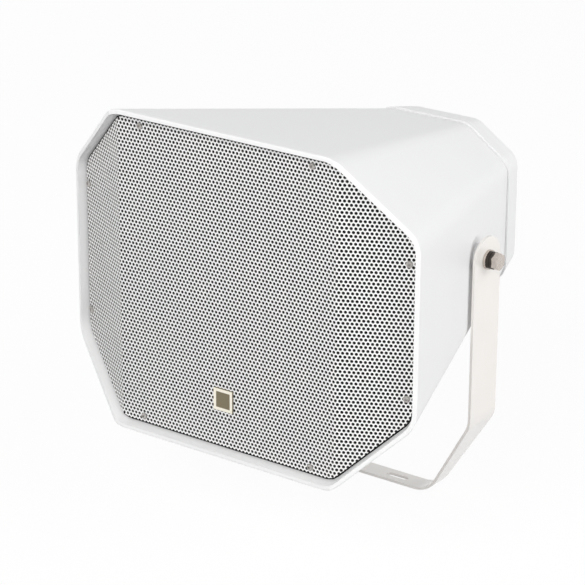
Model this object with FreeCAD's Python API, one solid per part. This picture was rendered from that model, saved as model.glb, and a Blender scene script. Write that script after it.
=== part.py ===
import FreeCAD, Part
import math
import os

from FreeCAD import Vector

# A flared horn speaker on a U bracket, in millimetres.
# X runs along the two pivot bolts, the mouth faces -Y and Z is up.
# The origin is the middle of the bracket's foot, on its underside.
# The speaker itself is drawn about its own axis, with depth measured back from the mouth,
# and is set on the bracket's pivot at the end.

# Horn mouth: a flat centre panel between two wings that fold back
mouth_width = 285.0
mouth_height = 230.8
mouth_side_height = 128.4
centre_panel_width = 182.4
wing_setback = 23.7
mouth_corner_radius = 22.0

# Rear end of the horn moulding, where the rear cover meets it
body_depth = 247.5
rear_width = 137.6
rear_height = 130.8
rear_top_width = 66.4
rear_side_height = 81.8
rear_corner_radius = 14.0

# Moulding
wall = 3.0
rim_width = 3.4
grille_recess = 6.5
ledge_width = 7.0
ledge_thickness = 3.0
rim_round = 1.0
baffle_thickness = 4.0

# Front grille and the cloth behind it
grille_thickness = 0.6
screen_thickness = 0.5
sheet_clearance = 0.4
hole_pitch = 15.0
hole_across = 12.0
hole_margin = 3.0

# Grille screws
grille_screw_spacing = 141.0
wing_screw_spacing = 93.0
grille_screw_inset = 10.4
wing_screw_inset = 8.0
grille_screw_radius = 1.25
grille_screw_length = 11.0
grille_screw_head_radius = 2.3
grille_screw_head_height = 1.6
grille_boss_radius = 4.5
grille_boss_length = 12.0

# Rear cover and its gasket
cover_depth = 25.5
cover_lip = 1.5
cover_edge_radius = 1.5
gasket_thickness = 1.0
gasket_setback = 1.0
cover_screw_x = 40.0
cover_screw_z = 43.0
cover_screw_radius = 2.0
cover_screw_head_radius = 3.8
cover_screw_head_height = 3.0
cover_screw_recess = 5.0
cover_screw_grip = 12.0
cover_boss_radius = 5.0
cover_boss_length = 18.0
boss_web = 4.0

# Bracket
pivot_depth = 163.8
pivot_rise = 3.2
pivot_height = 185.0
strap_thickness = 2.0
arm_clearance = 2.6
arm_width = 32.5
foot_width = 15.5
foot_length = 135.0
upper_bend_height = 64.4
taper_end_height = 8.0
bend_radius = 20.0
slot_spacing = 72.0
slot_length = 17.5
slot_width = 5.0

# Pivot bolts
bolt_radius = 3.2
bolt_length = 22.0
bolt_head_across = 11.1
bolt_head_height = 4.3
bolt_crown_across = 10.6
bolt_chamfer_angle = 30.0
flat_washer_radius = 7.0
flat_washer_thickness = 1.8
spring_washer_radius = 6.1
spring_washer_thickness = 4.0
spring_washer_split = 1.2
spring_washer_groove = 0.6
pivot_boss_radius = 9.0
pivot_boss_length = 22.0
insert_radius = 5.0
insert_length = 16.0

# Driver, measured back from the front face of its flange
driver_radius = 62.0
driver_sheet = 1.5
driver_gasket_thickness = 1.0
driver_opening_radius = 54.5
basket_radius = 51.5
landing_depth = 28.5
landing_outer_radius = 38.0
landing_inner_radius = 33.5
basket_depth = 37.5
basket_rear_radius = 30.0
basket_rear_hole = 17.5
window_count = 6
window_width = 20.0
window_front = 5.5
window_rear = 23.0
driver_screw_count = 4
driver_screw_radius = 2.0
driver_screw_head_radius = 3.6
driver_screw_head_height = 2.2
driver_screw_length = 10.0
driver_boss_radius = 4.5
driver_boss_length = 6.0

# Magnet system
top_plate_thickness = 5.0
top_plate_radius = 35.0
magnet_thickness = 14.0
magnet_radius = 40.0
magnet_hole_radius = 18.0
yoke_thickness = 5.0
yoke_radius = 36.0
pole_radius = 12.3
gap_outer_radius = 14.25
magnet_room = 8.0

# Moving diaphragm
former_radius = 13.0
former_wall = 0.2
former_front = 22.0
former_length = 24.0
coil_thickness = 0.8
coil_length = 10.0
cone_edge_radius = 46.5
cone_lip = 3.0
cone_depth = 23.0
cone_thickness = 0.8
cone_neck = 3.0
dust_cap_radius = 17.0
dust_cap_rise = 5.0
dust_cap_thickness = 0.6

# Flexible rings
surround_thickness = 0.5
surround_lip_gap = 0.25
surround_screw_gap = 0.4
spider_thickness = 0.4
spider_wave = 1.5
spider_folds = 8
spider_collar = 1.5
spider_rim = 4.0

# Terminals and leads
board_width = 18.0
board_height = 14.0
board_thickness = 1.6
board_foot_radius = 36.0
lug_spacing = 10.0
lug_width = 4.0
lug_thickness = 0.6
lug_height = 13.0
lug_overhang = 5.0
lead_radius = 0.9
lead_bend_share = 0.45

# Line transformer
core_width = 42.0
core_height = 34.0
core_stack = 16.0
core_limb = 6.5
core_centre_limb = 13.0
core_z = 12.0
winding_overhang = 8.0
winding_clearance = 0.2
clamp_sheet = 1.0
clamp_foot = 10.0
clamp_screw_radius = 1.5
clamp_screw_head_radius = 2.8
clamp_screw_head_height = 1.8
clamp_screw_length = 5.0
clamp_post_radius = 4.5
clamp_post_height = 5.0

# Cable gland
gland_z = -40.0
gland_thread_radius = 8.0
gland_bore_radius = 5.0
gland_flange_across = 20.0
gland_flange_thickness = 5.0
gland_inner_length = 9.0
gland_outer_length = 9.0
gland_seat_depth = 7.0
gland_seal_radius = 6.0
gland_seal_length = 8.0
cable_radius = 3.25
gland_nut_across = 20.0
gland_nut_radius = 11.2
gland_nut_length = 15.0
gland_nut_mouth_radius = 4.5
gland_nut_round = 5.0
locknut_across = 20.0
locknut_thickness = 4.0

# Fits
running_clearance = 0.1
face_clearance = 0.15
thread_clearance = 0.05
hole_clearance = 0.25
fit_clearance = 0.1

# Room for cutting tools to pass right through, and how near a point counts as on a face
overcut = 2.0
face_tolerance = 0.01

# Worked out from the sizes above
fold_angle = math.atan2(wing_setback, (mouth_width - centre_panel_width) / 2)
wing_length = math.hypot(wing_setback, (mouth_width - centre_panel_width) / 2)
beside_arm = (pivot_depth - arm_width / 2 - wing_setback) / (body_depth - wing_setback)
arm_inner = (mouth_width + beside_arm * (rear_width - mouth_width)) / 2 + arm_clearance
arm_outer = arm_inner + strap_thickness
grille_back = grille_recess + grille_thickness
ledge_front = grille_back + screen_thickness
ledge_back = ledge_front + ledge_thickness
cover_front = body_depth + gasket_thickness
cover_back = cover_front + cover_depth
cover_floor = cover_back - wall
core_foot = cover_floor - clamp_post_height
core_back = core_foot - core_height
yoke_front = core_back - clamp_sheet - magnet_room - yoke_thickness
magnet_front = yoke_front - magnet_thickness
plate_front = magnet_front - top_plate_thickness
flange_front = plate_front - basket_depth
baffle_depth = flange_front + driver_sheet + driver_gasket_thickness
driver_screw_circle = (driver_opening_radius + driver_radius) / 2
surround_outer_radius = driver_screw_circle - driver_screw_head_radius - surround_screw_gap
lead_height = board_foot_radius + board_height + lug_overhang / 2


def box(x, y, z):
    # A block from (low, high) pairs along each axis
    size = (x[1] - x[0], y[1] - y[0], z[1] - z[0])
    return Part.makeBox(*size, Vector(x[0], y[0], z[0]))


def rod(radius, start, end):
    # A round bar between two points
    path = end - start
    return Part.makeCylinder(radius, path.Length, start, path)


def rod_back(radius, front, back, x=0.0, z=0.0):
    # A round bar along the depth axis
    return rod(radius, Vector(x, front, z), Vector(x, back, z))


def ring_back(outer, inner, front, back):
    # A flat ring about the depth axis
    return rod_back(outer, front, back).cut(rod_back(inner, front - overcut, back + overcut))


def hexagon(across, start, path, turn=0.0):
    # A hexagonal bar by its size across flats, with two flats level unless it is turned
    corner = across / math.sqrt(3)
    side = path.cross(Vector(0, 0, 1)).normalize()
    points = []
    for step in range(7):
        angle = turn + step * math.pi / 3
        points.append(start + side * (corner * math.cos(angle)) + Vector(0, 0, corner * math.sin(angle)))
    return Part.Face(Part.makePolygon(points)).extrude(path)


def turned(points):
    # A solid turned about the depth axis from an outline of (radius, depth)
    outline = [Vector(radius, depth, 0) for radius, depth in points]
    face = Part.Face(Part.makePolygon(outline + outline[:1]))
    return face.revolve(Vector(0, 0, 0), Vector(0, 1, 0), 360)


def turned_edges(edges):
    # The same from lines and arcs already made
    face = Part.Face(Part.Wire(Part.__sortEdges__(edges)))
    return face.revolve(Vector(0, 0, 0), Vector(0, 1, 0), 360)


def rounded_edges(points, radius, closed):
    # Straight edges through the points, with an arc of one radius at each corner
    count = len(points)
    corners = range(count) if closed else range(1, count - 1)
    starts = {}
    arcs = {}
    for index in corners:
        here = points[index]
        to_last = (points[index - 1] - here).normalize()
        to_next = (points[(index + 1) % count] - here).normalize()
        half = to_last.getAngle(to_next) / 2
        trim = radius / math.tan(half)
        middle = here + (to_last + to_next).normalize() * (radius / math.sin(half) - radius)
        starts[index] = (here + to_last * trim, here + to_next * trim)
        arcs[index] = Part.Arc(starts[index][0], middle, starts[index][1]).toShape()
    edges = []
    for index in range(count if closed else count - 1):
        follower = (index + 1) % count
        leave = starts[index][1] if index in starts else points[index]
        arrive = starts[follower][0] if follower in starts else points[follower]
        if index in arcs:
            edges.append(arcs[index])
        edges.append(Part.LineSegment(leave, arrive).toShape())
    return edges


def along_body(depth, front_depth, front_size, rear_size):
    # Half of a size that changes evenly from the mouth to the rear end
    share = (depth - front_depth) / (body_depth - front_depth)
    return (front_size + share * (rear_size - front_size)) / 2


def section(depth, inset=0.0):
    # Half width, half height, half top flat and half side flat of the eight-sided section
    half_width = along_body(depth, wing_setback, mouth_width, rear_width)
    half_height = along_body(depth, 0, mouth_height, rear_height)
    half_top = along_body(depth, 0, centre_panel_width, rear_top_width)
    half_side = along_body(depth, wing_setback, mouth_side_height, rear_side_height)
    slope = math.atan2(half_height - half_side, half_width - half_top)
    half_top -= inset * math.tan(slope / 2)
    half_side -= inset * math.tan(math.pi / 4 - slope / 2)
    return half_width - inset, half_height - inset, half_top, half_side


def section_wire(depth, inset):
    width, height, top, side = section(depth, inset)
    corner_radius = 2 * along_body(depth, 0, mouth_corner_radius, rear_corner_radius)
    radius = max(corner_radius - inset, wall)
    quarter = [(top, height), (width, side), (width, -side), (top, -height)]
    outline = quarter + [(-x, z) for x, z in reversed(quarter)]
    points = [Vector(x, depth, z) for x, z in outline]
    return Part.Wire(rounded_edges(points, radius, True))


def flare(front, back, inset=0.0):
    # A length of the horn's tapered form, set in from its outer skin
    return Part.makeLoft([section_wire(front, inset), section_wire(back, inset)], True, True)


def inside_section(x, z, depth, inset):
    width, height, top, side = section(depth, inset)
    x = abs(x)
    z = abs(z)
    below_slope = (x - top) * (height - side) + (z - height) * (width - top) <= 0
    return x <= width and z <= height and below_slope


def fold_line(setback):
    # The folded front seen from above, moved back square to each panel
    fold_x = centre_panel_width / 2 - setback * math.tan(fold_angle / 2)
    end_x = fold_x + mouth_width * math.cos(fold_angle)
    end_y = setback + mouth_width * math.sin(fold_angle)
    half = [Vector(fold_x, setback, 0), Vector(end_x, end_y, 0)]
    return [Vector(-point.x, point.y, 0) for point in reversed(half)] + half


def folded_slab(front, back):
    # Everything between two setbacks behind the folded front
    outline = fold_line(front) + fold_line(back)[::-1]
    face = Part.Face(Part.makePolygon(outline + outline[:1]))
    face.translate(Vector(0, 0, -mouth_height))
    return face.extrude(Vector(0, 0, 2 * mouth_height))


def on_front(run, z, setback):
    # A point on the folded front, by its run along the fold line, and the way into the body
    half = centre_panel_width / 2
    side = math.copysign(1, run)
    past = max(abs(run) - half, 0)
    angle = fold_angle if past > 0 else 0.0
    point = Vector(side * (min(abs(run), half) + past * math.cos(angle)), past * math.sin(angle), z)
    inward = Vector(-side * math.sin(angle), math.cos(angle), 0)
    return point + inward * setback, inward


def grille_screw_places():
    top = mouth_height / 2 - grille_screw_inset
    wing = centre_panel_width / 2 + wing_length - wing_screw_inset
    places = []
    for side in (-1, 1):
        for end in (-1, 1):
            places.append((side * grille_screw_spacing / 2, end * top))
            places.append((side * wing, end * wing_screw_spacing / 2))
    return places


def front_rods(radius, front, back):
    # One bar through the front at each grille screw
    rods = []
    for run, z in grille_screw_places():
        start, inward = on_front(run, z, front)
        rods.append(rod(radius, start, start + inward * (back - front)))
    return rods


def cover_screw_places():
    return [(x, z) for x in (-cover_screw_x, cover_screw_x) for z in (-cover_screw_z, cover_screw_z)]


def driver_screw_places():
    places = []
    for step in range(driver_screw_count):
        angle = (step + 0.5) * 2 * math.pi / driver_screw_count
        places.append((driver_screw_circle * math.cos(angle), driver_screw_circle * math.sin(angle)))
    return places


def clamp_screw_places():
    x = core_width / 2 + clamp_sheet + clamp_foot / 2
    return [(-x, core_z), (x, core_z)]


def pivot_points(reach):
    # A point at each end of the pivot axis and the way out along it
    ends = [(Vector(side * reach, pivot_depth, pivot_rise), Vector(side, 0, 0)) for side in (-1, 1)]
    return ends


def horn_skin():
    skin = flare(-overcut, body_depth).common(folded_slab(0, body_depth + mouth_width / 2))
    return skin.makeFillet(rim_round, rim_edges(skin))


def rim_edges(skin):
    # The outer edge of the mouth, without the two folds
    fold_x = centre_panel_width / 2
    edges = []
    for edge in skin.Edges:
        middle = edge.CenterOfMass
        past = max(abs(middle.x) - fold_x, 0)
        on_face = abs(middle.y - past * math.tan(fold_angle)) < face_tolerance
        on_fold = abs(abs(middle.x) - fold_x) < face_tolerance
        if on_face and not on_fold:
            edges.append(edge)
    return edges


def horn_bosses(skin):
    ledge_bosses = front_rods(grille_boss_radius, ledge_front, ledge_back + grille_boss_length)
    rear_bosses = []
    for x, z in cover_screw_places():
        rear_bosses.append(rod_back(cover_boss_radius, body_depth - cover_boss_length, body_depth, x, z))
        rear_bosses.append(boss_to_wall(x, z))
    driver_bosses = []
    for x, z in driver_screw_places():
        back = baffle_depth + baffle_thickness + driver_boss_length
        driver_bosses.append(rod_back(driver_boss_radius, baffle_depth, back, x, z))
    return skin.common(Part.makeCompound(ledge_bosses + rear_bosses + driver_bosses))


def boss_to_wall(x, z):
    # The web that ties a rear screw boss to the sloping corner of the moulding
    width, height, top, side = section(body_depth)
    angle = math.degrees(math.atan2(width - top, height - side))
    front = body_depth - cover_boss_length
    web = box((0, rear_width / 2), (front, body_depth), (-boss_web / 2, boss_web / 2))
    turn = math.copysign(angle, z) if x > 0 else math.copysign(180 - angle, z)
    web.rotate(Vector(0, 0, 0), Vector(0, 1, 0), -turn)
    web.translate(Vector(x, 0, z))
    return web


def horn_body():
    skin = horn_skin()
    reach = body_depth + mouth_width / 2
    pocket = flare(-overcut, baffle_depth, rim_width).common(folded_slab(-overcut, ledge_front))
    mouth = flare(-overcut, baffle_depth, rim_width + ledge_width)
    mouth = mouth.common(folded_slab(0, ledge_back + overcut))
    horn = flare(-overcut, baffle_depth, wall).common(folded_slab(ledge_back, reach))
    chamber = flare(baffle_depth + baffle_thickness, body_depth + overcut, wall)
    shell = skin.cut([pocket, mouth, horn, chamber])
    pivot_bosses = []
    for start, outward in pivot_points(arm_inner - face_clearance - pivot_boss_length):
        pivot_bosses.append(rod(pivot_boss_radius, start, start + outward * pivot_boss_length))
    shell = shell.fuse(pivot_bosses + [horn_bosses(skin)])
    baffle_back = baffle_depth + baffle_thickness
    holes = [rod_back(driver_opening_radius, baffle_depth - overcut, baffle_back + overcut)]
    for start, outward in pivot_points(arm_inner - face_clearance - insert_length):
        holes.append(rod(insert_radius, start, start + outward * (insert_length + overcut)))
    screw_end = grille_recess + grille_screw_length + overcut
    holes += front_rods(grille_screw_radius + thread_clearance, 0, screw_end)
    for x, z in cover_screw_places():
        pilot = cover_screw_radius + thread_clearance
        holes.append(rod_back(pilot, body_depth - cover_screw_grip - overcut, body_depth + overcut, x, z))
    for x, z in driver_screw_places():
        pilot = driver_screw_radius + thread_clearance
        screw_end = flange_front + driver_screw_length + overcut
        holes.append(rod_back(pilot, baffle_depth - overcut, screw_end, x, z))
    return shell.cut(holes).removeSplitter()


def front_sheet(front, back):
    # A folded sheet that drops into the rim, with the screw holes
    sheet = flare(-overcut, baffle_depth, rim_width + sheet_clearance).common(folded_slab(front, back))
    return sheet.cut(front_rods(grille_screw_radius + hole_clearance, 0, back + overcut))


def hole_rows():
    # Staggered rows of holes over the unfolded sheet, clear of its edge, folds and screws
    row_pitch = hole_pitch * math.sqrt(3) / 2
    rows = int(mouth_height / row_pitch)
    columns = int((centre_panel_width / 2 + wing_length) / hole_pitch) + 1
    fold = centre_panel_width / 2 - grille_back * math.tan(fold_angle / 2)
    places = []
    for row in range(-rows, rows + 1):
        for column in range(-columns, columns + 1):
            run = (column + 0.5 * (row % 2)) * hole_pitch
            if abs(abs(run) - fold) > hole_across / 2 + hole_margin / 2:
                places.append((run, row * row_pitch))
    return [place for place in places if hole_fits(*place)]


def hole_fits(run, z):
    point = on_front(run, z, grille_recess)[0]
    edge = rim_width + sheet_clearance + hole_margin + hole_across / 2
    room = hole_across / 2 + grille_screw_head_radius + hole_margin / 2
    clear = all(math.hypot(run - x, z - height) > room for x, height in grille_screw_places())
    return clear and inside_section(point.x, z, point.y, edge)


def front_grille():
    sheet = front_sheet(grille_recess, grille_back)
    across_flats = hole_across * math.sqrt(3) / 2
    cutters = []
    for run, z in hole_rows():
        start, inward = on_front(run, z, grille_recess - overcut)
        cutters.append(hexagon(across_flats, start, inward * (grille_thickness + 2 * overcut)))
    return sheet.cut(Part.makeCompound(cutters))


def dust_screen():
    return front_sheet(grille_back, ledge_front)


def grille_screws():
    screws = []
    for run, z in grille_screw_places():
        seat, inward = on_front(run, z, grille_recess)
        head = rod(grille_screw_head_radius, seat - inward * grille_screw_head_height, seat)
        circles = [edge for edge in head.Edges if edge.isClosed()]
        crown = max(circles, key=lambda circle: (circle.CenterOfMass - seat).Length)
        head = head.makeFillet(grille_screw_head_height / 2, [crown])
        shank = rod(grille_screw_radius, seat, seat + inward * grille_screw_length)
        screws.append(head.fuse(shank))
    return Part.makeCompound(screws)


def rear_cover_gasket():
    outer = flare(body_depth, cover_front, gasket_setback)
    gasket = outer.cut(flare(body_depth - overcut, cover_front + overcut, gasket_setback + wall))
    pads = [rod_back(cover_boss_radius, body_depth, cover_front, x, z) for x, z in cover_screw_places()]
    webs = []
    for x, z in cover_screw_places():
        web = boss_to_wall(x, z)
        web.translate(Vector(0, gasket_thickness, 0))
        webs.append(web.common(outer))
    holes = []
    for x, z in cover_screw_places():
        hole = cover_screw_radius + hole_clearance
        holes.append(rod_back(hole, body_depth - overcut, cover_front + overcut, x, z))
    return gasket.fuse(pads + webs).cut(holes).removeSplitter()


def rear_cover():
    # The cover stands out past the moulding by its lip
    shell = flare(cover_front, cover_back, -cover_lip)
    rear_edges = [edge for edge in shell.Edges if edge.BoundBox.YMin > cover_back - overcut / 2]
    skin = shell.makeFillet(cover_edge_radius, rear_edges)
    shell = skin.cut(flare(cover_front - overcut, cover_floor, wall))
    posts = [rod_back(cover_boss_radius, cover_front, cover_floor, x, z) for x, z in cover_screw_places()]
    posts += [rod_back(clamp_post_radius, core_foot, cover_floor, x, z) for x, z in clamp_screw_places()]
    shell = shell.fuse([skin.common(post) for post in posts])
    inlet = gland_thread_radius + hole_clearance
    holes = [rod_back(inlet, cover_floor - overcut, cover_back + overcut, 0, gland_z)]
    for x, z in cover_screw_places():
        hole = cover_screw_radius + hole_clearance
        holes.append(rod_back(hole, cover_front - overcut, cover_back, x, z))
        recess = cover_screw_head_radius + hole_clearance
        holes.append(rod_back(recess, cover_back - cover_screw_recess, cover_back + overcut, x, z))
    for x, z in clamp_screw_places():
        pilot = clamp_screw_radius + thread_clearance
        holes.append(rod_back(pilot, core_foot - overcut, core_foot + clamp_screw_length, x, z))
    return shell.cut(holes).removeSplitter()


def rear_cover_screws():
    screws = []
    seat = cover_back - cover_screw_recess
    for x, z in cover_screw_places():
        head = rod_back(cover_screw_head_radius, seat, seat + cover_screw_head_height, x, z)
        shank = rod_back(cover_screw_radius, body_depth - cover_screw_grip, seat, x, z)
        screws.append(head.fuse(shank))
    return Part.makeCompound(screws)


def strap_outline(setback, radius):
    # One face of the bent strap seen from the front, from arm end to arm end
    drop = math.atan2(upper_bend_height, arm_outer - foot_length / 2)
    foot_x = foot_length / 2 - setback * math.tan(drop / 2)
    arm_x = arm_outer - setback
    bend_z = upper_bend_height + setback * math.tan((math.pi / 2 - drop) / 2)
    top = pivot_height + arm_width
    half = [Vector(foot_x, 0, setback), Vector(arm_x, 0, bend_z), Vector(arm_x, 0, top)]
    points = [Vector(-point.x, 0, point.z) for point in reversed(half)] + half
    return rounded_edges(points, radius, False), points


def bent_strap():
    outer, outer_points = strap_outline(0, bend_radius + strap_thickness)
    inner, inner_points = strap_outline(strap_thickness, bend_radius)
    ends = [Part.LineSegment(outer_points[end], inner_points[end]).toShape() for end in (0, -1)]
    face = Part.Face(Part.Wire(Part.__sortEdges__(outer + inner + ends)))
    face.translate(Vector(0, -arm_width, 0))
    return face.extrude(Vector(0, 2 * arm_width, 0))


def strap_side():
    # The strap's edges seen from the side: rounded arm ends, drawn in towards the foot
    half_arm = arm_width / 2
    half_foot = foot_width / 2
    right = [(half_foot, -overcut), (half_foot, taper_end_height)]
    right += [(half_arm, upper_bend_height), (half_arm, pivot_height)]
    outline = [Vector(0, y, z) for y, z in right]
    outline_left = [Vector(0, -y, z) for y, z in reversed(right)]
    edges = [Part.LineSegment(*pair).toShape() for pair in zip(outline, outline[1:])]
    edges += [Part.LineSegment(*pair).toShape() for pair in zip(outline_left, outline_left[1:])]
    edges.append(Part.LineSegment(outline_left[-1], outline[0]).toShape())
    edges.append(Part.Arc(outline[-1], Vector(0, 0, pivot_height + half_arm), outline_left[0]).toShape())
    face = Part.Face(Part.Wire(Part.__sortEdges__(edges)))
    face.translate(Vector(-mouth_width / 2, 0, 0))
    return face.extrude(Vector(mouth_width, 0, 0))


def foot_slot(x):
    reach = (slot_length - slot_width) / 2
    top = strap_thickness + overcut
    slot = box((x - reach, x + reach), (-slot_width / 2, slot_width / 2), (-overcut, top))
    ends = []
    for end in (x - reach, x + reach):
        ends.append(rod(slot_width / 2, Vector(end, 0, -overcut), Vector(end, 0, top)))
    return slot.fuse(ends).removeSplitter()


def mounting_bracket():
    strap = bent_strap().common(strap_side())
    reach = arm_outer + overcut
    ends = [Vector(-reach, 0, pivot_height), Vector(reach, 0, pivot_height)]
    pivot_hole = rod(bolt_radius + running_clearance, *ends)
    return strap.cut([pivot_hole, foot_slot(-slot_spacing / 2), foot_slot(slot_spacing / 2)])


def washer_pair(outer, inner, near, thickness):
    washers = []
    for start, outward in pivot_points(near):
        hole = rod(inner, start - outward * overcut, start + outward * (thickness + overcut))
        washers.append(rod(outer, start, start + outward * thickness).cut(hole))
    return washers


def pivot_flat_washers():
    near = arm_outer + face_clearance
    inner = bolt_radius + hole_clearance
    return Part.makeCompound(washer_pair(flat_washer_radius, inner, near, flat_washer_thickness))


def pivot_spring_washers():
    # Two turns of steel each, with a groove where the turns meet and a split behind
    near = arm_outer + face_clearance + flat_washer_thickness
    inner = bolt_radius + hole_clearance
    half = spring_washer_split / 2
    behind = (pivot_depth, pivot_depth + 2 * spring_washer_radius)
    split = box((-mouth_width, mouth_width), behind, (pivot_rise - half, pivot_rise + half))
    seam = near + (spring_washer_thickness - spring_washer_groove) / 2
    seam_radius = spring_washer_radius - spring_washer_groove
    grooves = washer_pair(spring_washer_radius + overcut, seam_radius, seam, spring_washer_groove)
    washers = washer_pair(spring_washer_radius, inner, near, spring_washer_thickness)
    return Part.makeCompound([washer.cut(grooves + [split]) for washer in washers])


def pivot_bolts():
    bolts = []
    seat = arm_outer + face_clearance + flat_washer_thickness + spring_washer_thickness
    for start, outward in pivot_points(seat):
        head = hexagon(bolt_head_across, start, outward * bolt_head_height, math.pi / 6)
        crown = bolt_crown_across / 2
        skirt = crown + bolt_head_height / math.tan(math.radians(bolt_chamfer_angle))
        head = head.common(Part.makeCone(skirt, crown, bolt_head_height, start, outward))
        shank = rod(bolt_radius, start - outward * bolt_length, start)
        bolts.append(head.fuse(shank))
    return Part.makeCompound(bolts)


def pivot_inserts():
    inserts = []
    for start, outward in pivot_points(arm_inner - face_clearance - insert_length):
        bush = rod(insert_radius, start, start + outward * insert_length)
        ends = [start - outward * overcut, start + outward * (insert_length + overcut)]
        inserts.append(bush.cut(rod(bolt_radius + thread_clearance, *ends)))
    return Part.makeCompound(inserts)


def driver_gasket():
    front = baffle_depth - driver_gasket_thickness
    ring = ring_back(driver_radius, driver_opening_radius, front, baffle_depth)
    hole = driver_screw_radius + hole_clearance
    holes = []
    for x, z in driver_screw_places():
        holes.append(rod_back(hole, flange_front, baffle_depth + overcut, x, z))
    return ring.cut(holes)


def driver_frame():
    landing = flange_front + landing_depth
    rear = flange_front + basket_depth - driver_sheet
    front_face = [
        (driver_radius, flange_front), (basket_radius, flange_front),
        (landing_outer_radius, landing), (landing_inner_radius, landing),
        (basket_rear_radius, rear), (basket_rear_hole, rear),
    ]
    back_face = [(basket_rear_hole, rear + driver_sheet)]
    for radius, depth in reversed(front_face[1:-1]):
        back_face.append((radius + driver_sheet, depth + driver_sheet))
    back_face.append((driver_radius, flange_front + driver_sheet))
    frame = turned(front_face + back_face)
    cutters = []
    for step in range(window_count):
        window = box((landing_inner_radius, driver_radius),
                     (flange_front + window_front, flange_front + window_rear),
                     (-window_width / 2, window_width / 2))
        window.rotate(Vector(0, 0, 0), Vector(0, 1, 0), step * 360 / window_count)
        cutters.append(window)
    hole = driver_screw_radius + hole_clearance
    for x, z in driver_screw_places():
        cutters.append(rod_back(hole, flange_front - overcut, flange_front + driver_sheet + overcut, x, z))
    return frame.cut(cutters)


def driver_screws():
    screws = []
    for x, z in driver_screw_places():
        head = rod_back(driver_screw_head_radius, flange_front - driver_screw_head_height, flange_front, x, z)
        shank = rod_back(driver_screw_radius, flange_front, flange_front + driver_screw_length, x, z)
        screws.append(head.fuse(shank))
    return Part.makeCompound(screws)


def driver_top_plate():
    return ring_back(top_plate_radius, gap_outer_radius, plate_front, magnet_front)


def driver_magnet():
    return ring_back(magnet_radius, magnet_hole_radius, magnet_front, yoke_front)


def driver_yoke():
    plate = rod_back(yoke_radius, yoke_front, yoke_front + yoke_thickness)
    return plate.fuse(rod_back(pole_radius, plate_front, yoke_front)).removeSplitter()


def cone_front_depth(radius):
    # Depth of the cone's front face at a radius
    rim = cone_edge_radius - cone_lip
    return flange_front + cone_depth * (rim - radius) / (rim - former_radius)


def driver_cone():
    rim = cone_edge_radius - cone_lip
    neck_front = flange_front + cone_depth
    neck_back = neck_front + cone_neck
    slope = math.atan2(cone_depth, rim - former_radius)
    across = cone_thickness * math.tan(slope / 2)
    lip_back = flange_front + cone_thickness
    neck_outer = former_radius + cone_thickness
    front_face = [(cone_edge_radius, flange_front), (rim, flange_front), (former_radius, neck_front)]
    neck = [(former_radius, neck_back), (neck_outer, neck_back), (neck_outer, neck_front + across)]
    return turned(front_face + neck + [(rim + across, lip_back), (cone_edge_radius, lip_back)])


def cap_arc(radius, rise):
    # A shallow dome that meets the cone's front face at a radius
    foot = cone_front_depth(radius)
    ball = (radius ** 2 + rise ** 2) / (2 * rise)
    middle = foot - rise + ball - math.sqrt(ball ** 2 - radius ** 2 / 4)
    points = [Vector(0, foot - rise, 0), Vector(radius / 2, middle, 0), Vector(radius, foot, 0)]
    return Part.Arc(*points).toShape()


def driver_dust_cap():
    inner_radius = dust_cap_radius - dust_cap_thickness
    outer = cap_arc(dust_cap_radius, dust_cap_rise)
    top = cone_front_depth(dust_cap_radius) - dust_cap_rise
    inner = cap_arc(inner_radius, cone_front_depth(inner_radius) - top - dust_cap_thickness)
    foot = Part.LineSegment(outer.Vertexes[1].Point, inner.Vertexes[1].Point).toShape()
    axis = Part.LineSegment(outer.Vertexes[0].Point, inner.Vertexes[0].Point).toShape()
    return turned_edges([outer, inner, foot, axis])


def coil_former():
    front = flange_front + former_front
    return ring_back(former_radius, former_radius - former_wall, front, front + former_length)


def voice_coil():
    middle = plate_front + top_plate_thickness / 2
    outer = former_radius + coil_thickness
    return ring_back(outer, former_radius, middle - coil_length / 2, middle + coil_length / 2)


def driver_surround():
    front = flange_front - surround_thickness
    middle = (cone_edge_radius + basket_radius) / 2
    inner = basket_radius - middle - surround_lip_gap
    outer = inner + surround_thickness
    half = math.sqrt(outer ** 2 - surround_thickness ** 2)
    lip = cone_edge_radius - cone_lip
    under = [Vector(lip, flange_front, 0), Vector(middle - inner, flange_front, 0),
             Vector(middle, flange_front - inner, 0), Vector(middle + inner, flange_front, 0),
             Vector(surround_outer_radius, flange_front, 0)]
    over = [Vector(lip, front, 0), Vector(middle - half, front, 0), Vector(middle, flange_front - outer, 0),
            Vector(middle + half, front, 0), Vector(surround_outer_radius, front, 0)]
    edges = []
    for line in (under, over):
        edges.append(Part.LineSegment(line[0], line[1]).toShape())
        edges.append(Part.Arc(line[1], line[2], line[3]).toShape())
        edges.append(Part.LineSegment(line[3], line[4]).toShape())
    edges.append(Part.LineSegment(under[0], over[0]).toShape())
    edges.append(Part.LineSegment(under[4], over[4]).toShape())
    return turned_edges(edges)


def driver_spider():
    flat = flange_front + landing_depth - spider_thickness
    inner = former_radius + spider_collar
    outer = landing_inner_radius
    front = [(former_radius, flat)]
    for step in range(spider_folds + 1):
        lift = spider_wave if step % 2 else 0.0
        front.append((inner + (outer - inner) * step / spider_folds, flat - lift))
    front.append((outer + spider_rim, flat))
    back = [(radius, depth + spider_thickness) for radius, depth in reversed(front)]
    return turned(front + back)


def terminal_board():
    front = flange_front + landing_depth + driver_sheet
    half = board_width / 2
    upright = (board_foot_radius, board_foot_radius + board_height)
    return box((-half, half), (front, front + board_thickness), upright)


def terminal_lugs():
    front = flange_front + landing_depth + driver_sheet + board_thickness
    top = board_foot_radius + board_height + lug_overhang
    lugs = []
    for x in (-lug_spacing / 2, lug_spacing / 2):
        across = (x - lug_width / 2, x + lug_width / 2)
        lugs.append(box(across, (front, front + lug_thickness), (top - lug_height, top)))
    return Part.makeCompound(lugs)


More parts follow.
